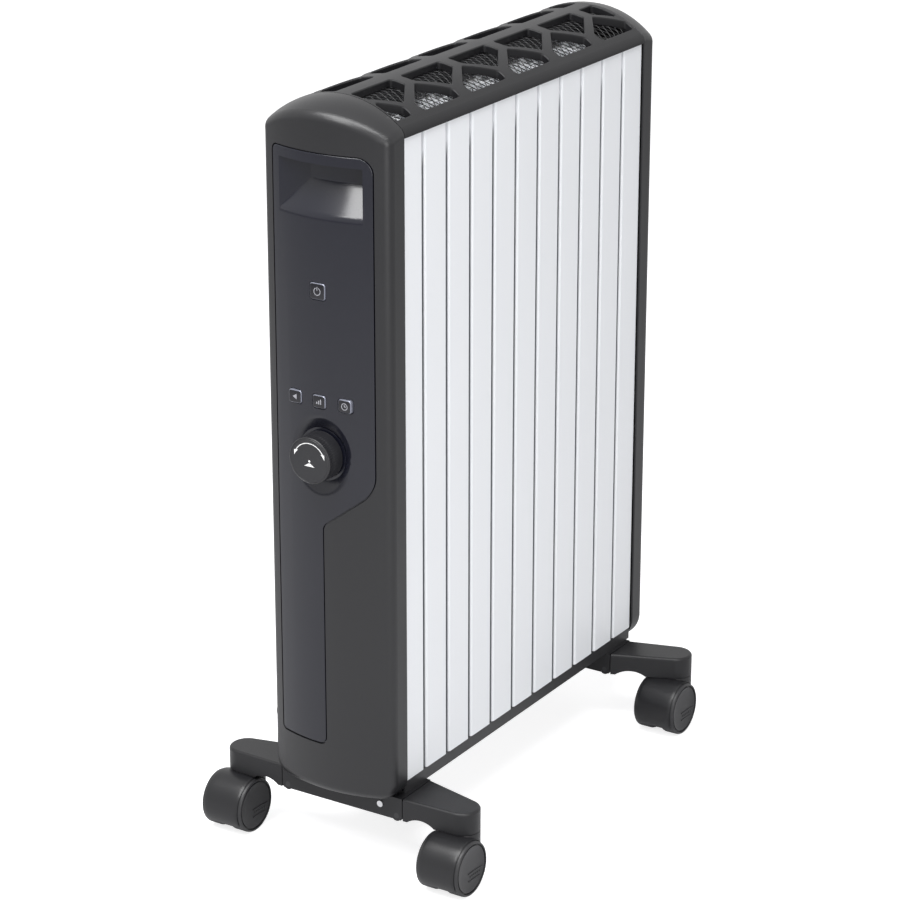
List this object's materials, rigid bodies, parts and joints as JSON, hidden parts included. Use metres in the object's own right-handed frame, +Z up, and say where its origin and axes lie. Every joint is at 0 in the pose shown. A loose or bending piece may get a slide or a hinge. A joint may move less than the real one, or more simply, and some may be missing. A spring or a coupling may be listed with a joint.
{
  "type": "oil filled radiator heater",
  "caption": "Upright portable radiator heater with flat white side slats, charcoal domed ends, front knob and keys, open lattice top and folding caster feet.",
  "frame": {"origin": "on the floor under the middle of the bounding box", "axes": "+Z up, -Y the way the controls face, +X to the right seen from the controls"},
  "size_m": [0.2608, 0.4569, 0.665],
  "materials": {
    "housing_plastic": "fine satin texture, charcoal",
    "panel_gloss": "polished charcoal",
    "key_plastic": "satin charcoal with grey icons",
    "knob_plastic": "satin charcoal with a knurled face edge",
    "grille_plastic": "fine matt texture, dark charcoal",
    "foot_plastic": "fine satin texture, charcoal",
    "caster_plastic": "satin charcoal",
    "wheel_plastic": "matt dark grey",
    "white_aluminium": "white powder coat",
    "dark_steel": "black powder coat",
    "mesh_metal": "dark coated expanded metal",
    "zinc_steel": "zinc plated",
    "bright_steel": "plated",
    "circuit_board": "solder mask",
    "component_plastic": "moulded black",
    "element_foil": "foil faced",
    "wire_insulation": "sleeved",
    "gland_rubber": "moulded"
  },
  "bodies": {
    "heater": {"front_housing": "housing_plastic", "rear_housing": "housing_plastic", "front_panel": "panel_gloss", "top_grille": "grille_plastic", "front_foot_bar": "foot_plastic", "rear_foot_bar": "foot_plastic", "front_trim_slats": "white_aluminium", "heating_module_01": "white_aluminium", "heating_module_02": "white_aluminium", "heating_module_03": "white_aluminium", "heating_module_04": "white_aluminium", "heating_module_05": "white_aluminium", "heating_module_06": "white_aluminium", "heating_module_07": "white_aluminium", "heating_module_08": "white_aluminium", "heating_module_09": "white_aluminium", "heating_module_10": "white_aluminium", "base_rails": "dark_steel", "arm_pivot_pins": "dark_steel", "top_mesh": "mesh_metal", "front_end_plate": "zinc_steel", "rear_end_plate": "zinc_steel", "tie_rods": "bright_steel", "tie_rod_nuts": "bright_steel", "housing_screws": "bright_steel", "foot_screws": "bright_steel", "control_board": "circuit_board", "power_board": "circuit_board", "encoder_body": "component_plastic", "display_module": "component_plastic", "button_switches": "component_plastic", "room_sensor": "component_plastic", "tip_over_switch": "component_plastic", "thermal_cutouts": "component_plastic", "heating_elements": "element_foil", "wiring_harness": "wire_insulation", "cord_gland": "gland_rubber"},
    "knob_push": {"encoder_sleeve": "component_plastic"},
    "knob": {"encoder_shaft": "bright_steel", "control_knob": "knob_plastic"},
    "power_key": {"power_button": "key_plastic"},
    "mode_key": {"mode_button": "key_plastic"},
    "level_key": {"level_button": "key_plastic"},
    "timer_key": {"timer_button": "key_plastic"},
    "arm_front_left": {"foot_arm_front_left": "foot_plastic"},
    "caster_front_left": {"caster_hood_front_left": "caster_plastic", "caster_stem_front_left": "bright_steel"},
    "wheels_front_left": {"caster_wheels_front_left": "wheel_plastic"},
    "arm_front_right": {"foot_arm_front_right": "foot_plastic"},
    "caster_front_right": {"caster_hood_front_right": "caster_plastic", "caster_stem_front_right": "bright_steel"},
    "wheels_front_right": {"caster_wheels_front_right": "wheel_plastic"},
    "arm_rear_left": {"foot_arm_rear_left": "foot_plastic"},
    "caster_rear_left": {"caster_hood_rear_left": "caster_plastic", "caster_stem_rear_left": "bright_steel"},
    "wheels_rear_left": {"caster_wheels_rear_left": "wheel_plastic"},
    "arm_rear_right": {"foot_arm_rear_right": "foot_plastic"},
    "caster_rear_right": {"caster_hood_rear_right": "caster_plastic", "caster_stem_rear_right": "bright_steel"},
    "wheels_rear_right": {"caster_wheels_rear_right": "wheel_plastic"}
  },
  "joints": [
    {"name": "knob_press", "type": "slide", "parent": "heater", "child": "knob_push", "axis": [0, 1, 0], "range_m": [0, 0.001], "stiffness_N_per_m": 1500, "springref_m": -0.001},
    {"name": "knob_turn", "type": "hinge", "parent": "knob_push", "child": "knob", "pos_m": [0, -0.22845, 0.3728], "axis": [0, -1, 0], "continuous": true},
    {"name": "power_press", "type": "slide", "parent": "heater", "child": "power_key", "axis": [0, 1, 0], "range_m": [0, 0.0008], "stiffness_N_per_m": 1000, "springref_m": -0.0008},
    {"name": "mode_press", "type": "slide", "parent": "heater", "child": "mode_key", "axis": [0, 1, 0], "range_m": [0, 0.0008], "stiffness_N_per_m": 1000, "springref_m": -0.0008},
    {"name": "level_press", "type": "slide", "parent": "heater", "child": "level_key", "axis": [0, 1, 0], "range_m": [0, 0.0008], "stiffness_N_per_m": 1000, "springref_m": -0.0008},
    {"name": "timer_press", "type": "slide", "parent": "heater", "child": "timer_key", "axis": [0, 1, 0], "range_m": [0, 0.0008], "stiffness_N_per_m": 1000, "springref_m": -0.0008},
    {"name": "fold_front_left", "type": "hinge", "parent": "heater", "child": "arm_front_left", "pos_m": [-0.0555, -0.1667, 0.0535], "axis": [0, -1, 0], "range_deg": [0, 90]},
    {"name": "swivel_front_left", "type": "hinge", "parent": "arm_front_left", "child": "caster_front_left", "pos_m": [-0.11, -0.17195, 0.05], "axis": [0, 0, 1], "continuous": true},
    {"name": "roll_front_left", "type": "hinge", "parent": "caster_front_left", "child": "wheels_front_left", "pos_m": [-0.11, -0.18895, 0.024], "axis": [1, 0, 0], "continuous": true},
    {"name": "fold_front_right", "type": "hinge", "parent": "heater", "child": "arm_front_right", "pos_m": [0.0555, -0.1667, 0.0535], "axis": [0, 1, 0], "range_deg": [0, 90]},
    {"name": "swivel_front_right", "type": "hinge", "parent": "arm_front_right", "child": "caster_front_right", "pos_m": [0.11, -0.17195, 0.05], "axis": [0, 0, 1], "continuous": true},
    {"name": "roll_front_right", "type": "hinge", "parent": "caster_front_right", "child": "wheels_front_right", "pos_m": [0.11, -0.18895, 0.024], "axis": [1, 0, 0], "continuous": true},
    {"name": "fold_rear_left", "type": "hinge", "parent": "heater", "child": "arm_rear_left", "pos_m": [-0.0555, 0.1817, 0.0535], "axis": [0, -1, 0], "range_deg": [0, 90]},
    {"name": "swivel_rear_left", "type": "hinge", "parent": "arm_rear_left", "child": "caster_rear_left", "pos_m": [-0.11, 0.19895, 0.05], "axis": [0, 0, 1], "continuous": true},
    {"name": "roll_rear_left", "type": "hinge", "parent": "caster_rear_left", "child": "wheels_rear_left", "pos_m": [-0.11, 0.18195, 0.024], "axis": [1, 0, 0], "continuous": true},
    {"name": "fold_rear_right", "type": "hinge", "parent": "heater", "child": "arm_rear_right", "pos_m": [0.0555, 0.1817, 0.0535], "axis": [0, 1, 0], "range_deg": [0, 90]},
    {"name": "swivel_rear_right", "type": "hinge", "parent": "arm_rear_right", "child": "caster_rear_right", "pos_m": [0.11, 0.19895, 0.05], "axis": [0, 0, 1], "continuous": true},
    {"name": "roll_rear_right", "type": "hinge", "parent": "caster_rear_right", "child": "wheels_rear_right", "pos_m": [0.11, 0.18195, 0.024], "axis": [1, 0, 0], "continuous": true}
  ]
}
